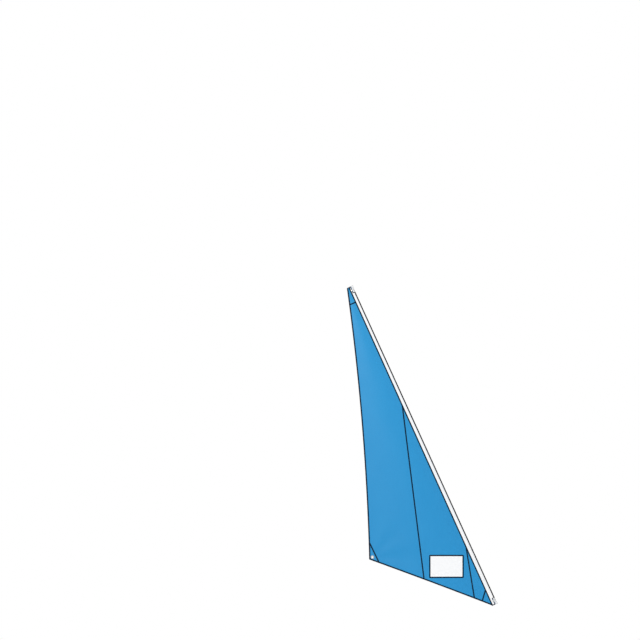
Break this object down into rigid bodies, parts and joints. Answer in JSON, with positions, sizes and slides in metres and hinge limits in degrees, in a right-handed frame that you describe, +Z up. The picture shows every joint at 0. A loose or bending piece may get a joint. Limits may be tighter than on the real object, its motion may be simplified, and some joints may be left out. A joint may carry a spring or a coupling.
{
  "type": "jib sail",
  "caption": "Triangular jib for a small sailing dinghy, panelled sailcloth on a wire luff with thimble eyes at head and tack and a pressed clew ring.",
  "frame": {"origin": "centre of the tack eye, the lower thimble eye of the luff wire", "axes": "+X towards the bow, +Y to port and square to the plane of the luff wire's rake, +Z up, with the sail as it is rigged"},
  "size_m": [1.3578, 0.1532, 2.8854],
  "materials": {
    "blue_cloth": "satin",
    "white_cloth": "matte",
    "navy_tape": "matte",
    "label_cloth": "matte",
    "cord": "matte",
    "steel": "polished",
    "ring_metal": "polished",
    "ferrule_metal": "satin"
  },
  "bodies": {
    "wire": {"luff_wire": "steel", "tack_thimble": "steel", "head_thimble": "steel", "tack_ferrule": "ferrule_metal", "head_ferrule": "ferrule_metal"},
    "sail": {"leech_panel": "blue_cloth", "middle_panel": "blue_cloth", "tack_panel": "blue_cloth", "head_patch_port": "blue_cloth", "head_patch_starboard": "blue_cloth", "tack_patch_port": "blue_cloth", "tack_patch_starboard": "blue_cloth", "clew_patch_port": "blue_cloth", "clew_patch_starboard": "blue_cloth", "leech_binding": "navy_tape", "foot_binding": "navy_tape", "luff_tape": "white_cloth", "label_patch": "label_cloth", "tack_seizing": "cord", "head_seizing": "cord", "clew_eyelet": "ring_metal", "clew_eyelet_washer": "ring_metal", "tack_eyelet": "ring_metal", "tack_eyelet_washer": "ring_metal", "head_eyelet": "ring_metal", "head_eyelet_washer": "ring_metal"}
  },
  "joints": [
    {"name": "sail_swing", "type": "hinge", "parent": "wire", "child": "sail", "pos_m": [0, 0, 0], "axis": [-0.4147, 0, 0.91], "range_deg": [-90, 90]}
  ]
}
